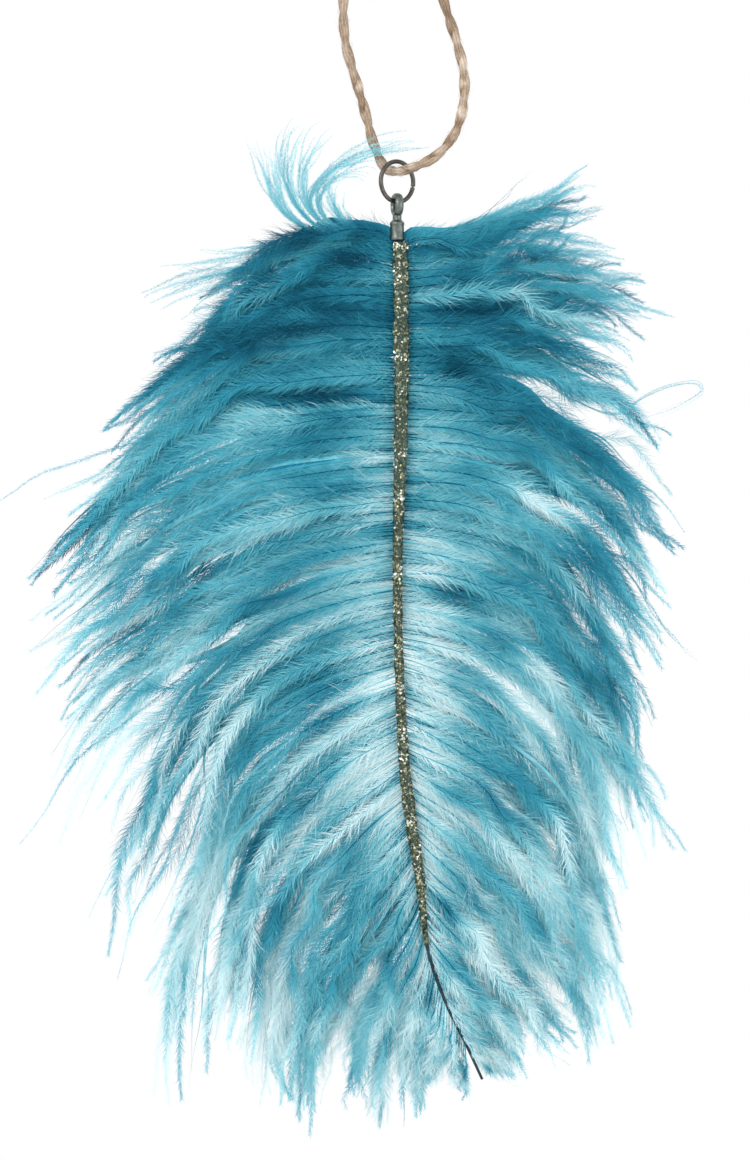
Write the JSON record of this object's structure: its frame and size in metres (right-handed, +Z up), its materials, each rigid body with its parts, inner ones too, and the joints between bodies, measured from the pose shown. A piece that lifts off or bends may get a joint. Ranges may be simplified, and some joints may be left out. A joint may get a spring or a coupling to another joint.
{
  "type": "hanging feather ornament",
  "caption": "Large dyed plume hung point down from a twine loop by a ring and an end cap, with a glittered shaft.",
  "frame": {"origin": "the hanging point: inside the top of the twine loop, just under its knot", "axes": "+Z up, +X to the right of the feather's glittered front, +Y to its back"},
  "size_m": [0.148, 0.0146, 0.2921],
  "materials": {
    "twine": "two-ply jute, hairy, matt",
    "metal": "dark gunmetal plating, polished wire",
    "glue": "set clear adhesive, slightly yellow",
    "quill": "dyed keratin, satin",
    "glitter": "olive-gold glitter flakes in clear glue",
    "barbs": "soft dyed barbs, teal, darker near the quill end"
  },
  "bodies": {
    "hanger": {"hanging_cord": "twine", "cord_knot": "twine"},
    "ring": {"jump_ring": "metal"},
    "feather": {"end_cap": "metal", "glue_plug": "glue", "quill_shaft": "quill", "glitter_coat": "glitter", "barb_lock_left_01": "barbs", "barb_lock_left_02": "barbs", "barb_lock_left_03": "barbs", "barb_lock_left_04": "barbs", "barb_lock_left_05": "barbs", "barb_lock_left_06": "barbs", "barb_lock_left_07": "barbs", "barb_lock_left_08": "barbs", "barb_lock_left_09": "barbs", "barb_lock_left_10": "barbs", "barb_lock_left_11": "barbs", "barb_lock_left_12": "barbs", "barb_lock_left_13": "barbs", "barb_lock_left_14": "barbs", "barb_lock_left_15": "barbs", "barb_lock_left_16": "barbs", "barb_lock_right_01": "barbs", "barb_lock_right_02": "barbs", "barb_lock_right_03": "barbs", "barb_lock_right_04": "barbs", "barb_lock_right_05": "barbs", "barb_lock_right_06": "barbs", "barb_lock_right_07": "barbs", "barb_lock_right_08": "barbs", "barb_lock_right_09": "barbs", "barb_lock_right_10": "barbs", "barb_lock_right_11": "barbs", "barb_lock_right_12": "barbs", "barb_lock_right_13": "barbs", "barb_lock_right_14": "barbs", "barb_lock_right_15": "barbs", "barb_lock_right_16": "barbs", "top_wisp_outer": "barbs", "top_wisp_middle": "barbs", "top_wisp_inner": "barbs"}
  },
  "joints": [
    {"name": "ring_swing", "type": "hinge", "parent": "hanger", "child": "ring", "pos_m": [0, 0, -0.0624], "axis": [-0.6018, 0.7986, 0], "range_deg": [-30, 30]},
    {"name": "feather_swing", "type": "hinge", "parent": "ring", "child": "feather", "pos_m": [0, 0, -0.0693], "axis": [0.7986, 0.6018, 0], "range_deg": [-75, 75]}
  ]
}
